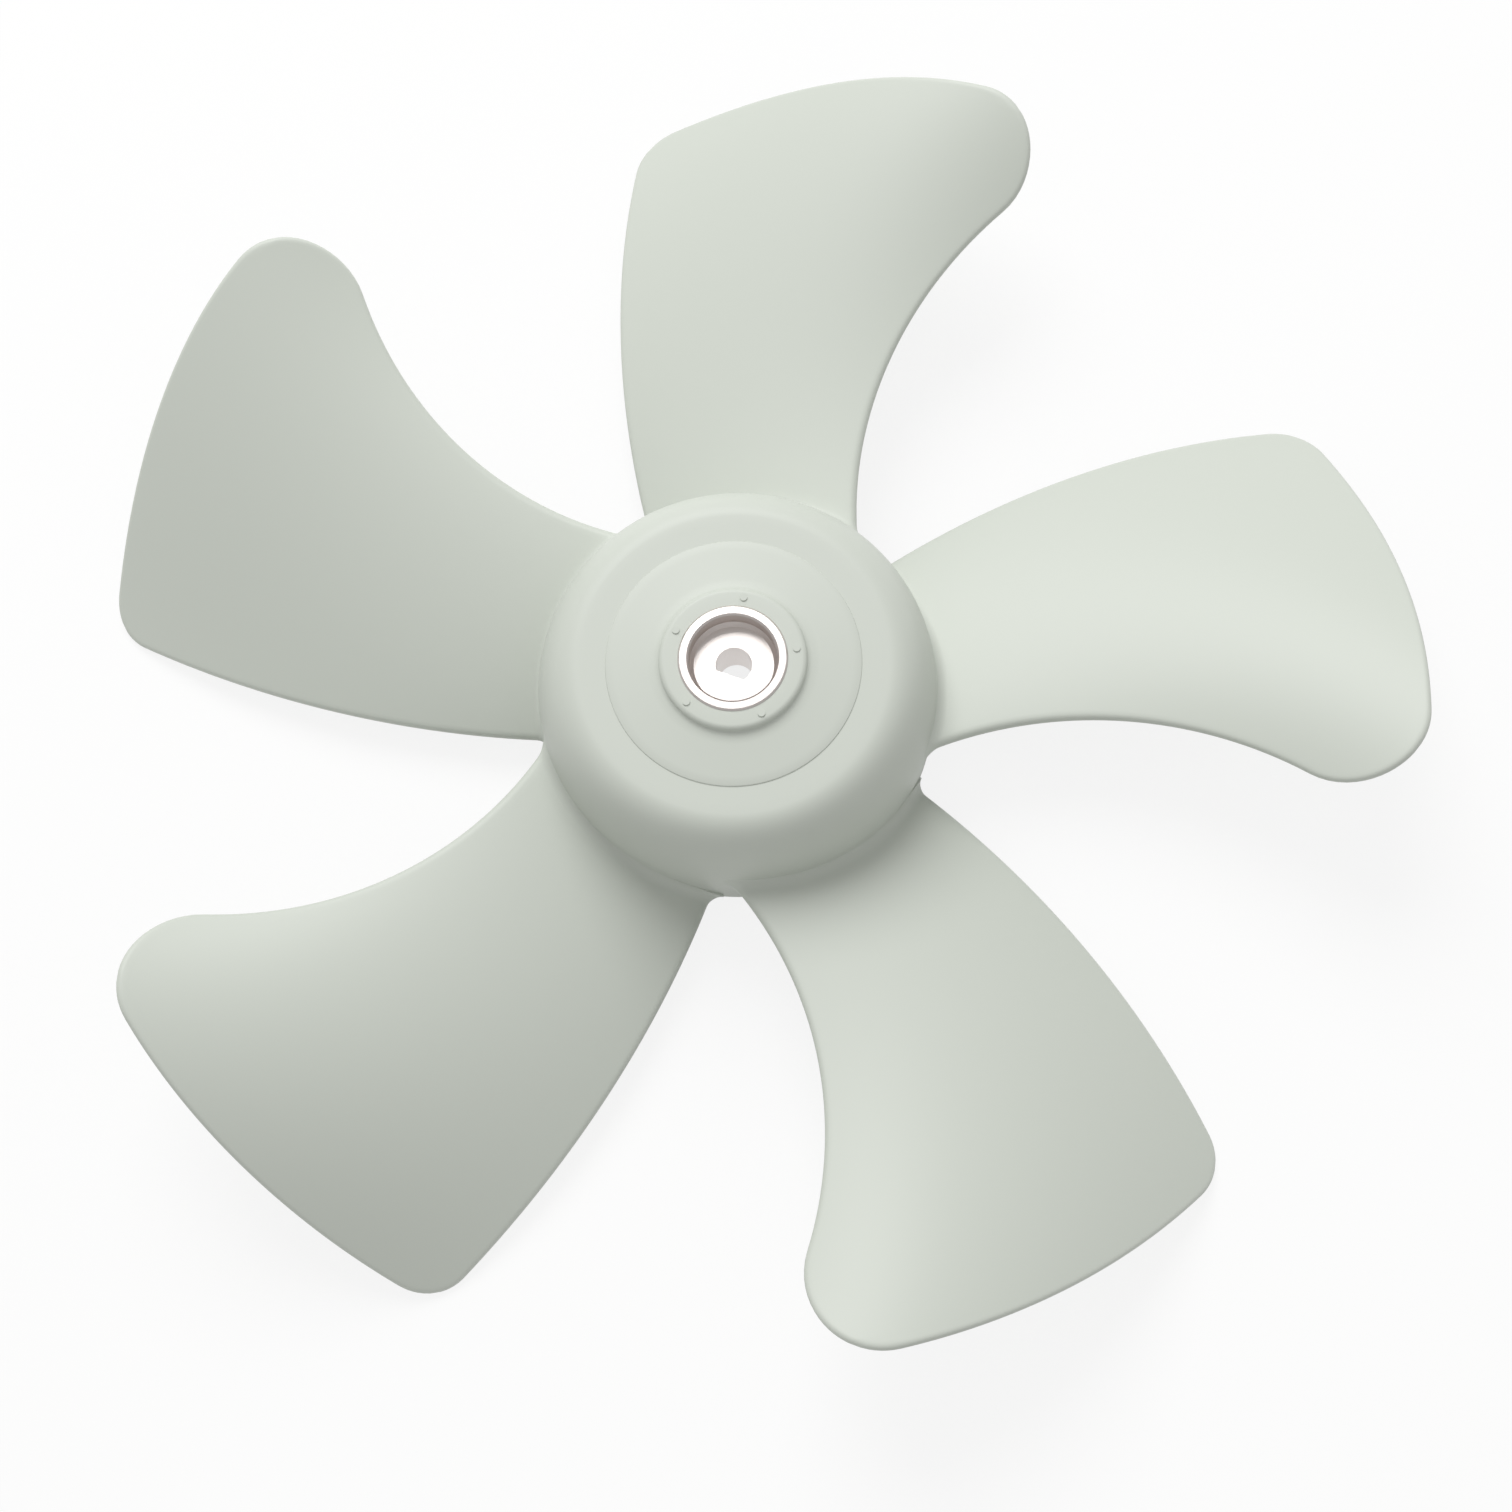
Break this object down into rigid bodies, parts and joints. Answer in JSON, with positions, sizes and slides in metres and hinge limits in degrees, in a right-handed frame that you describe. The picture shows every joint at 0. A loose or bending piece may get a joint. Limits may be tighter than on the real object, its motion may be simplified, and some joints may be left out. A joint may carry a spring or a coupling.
{
  "type": "radiator fan blade",
  "caption": "Axial cooling fan wheel moulded in one piece: wide forward-swept blades round a domed, ribbed hub with a metal shaft insert.",
  "frame": {"origin": "on the shaft axis, in the plane of the insert's rear seat, where the shaft enters its bore", "axes": "+Z along the shaft towards the fan's front, the domed side of the hub; +X along the flat of the D-shaped bore"},
  "size_m": [0.2949, 0.2982, 0.045],
  "materials": {
    "translucent_polypropylene": "natural glass-filled polypropylene, moulded, milky and slightly translucent, chalky at the edges",
    "turned_aluminium": "bright turned faces with fine tool rings"
  },
  "bodies": {
    "root": {"fan_moulding": "translucent_polypropylene", "shaft_insert": "turned_aluminium"}
  },
  "joints": []
}
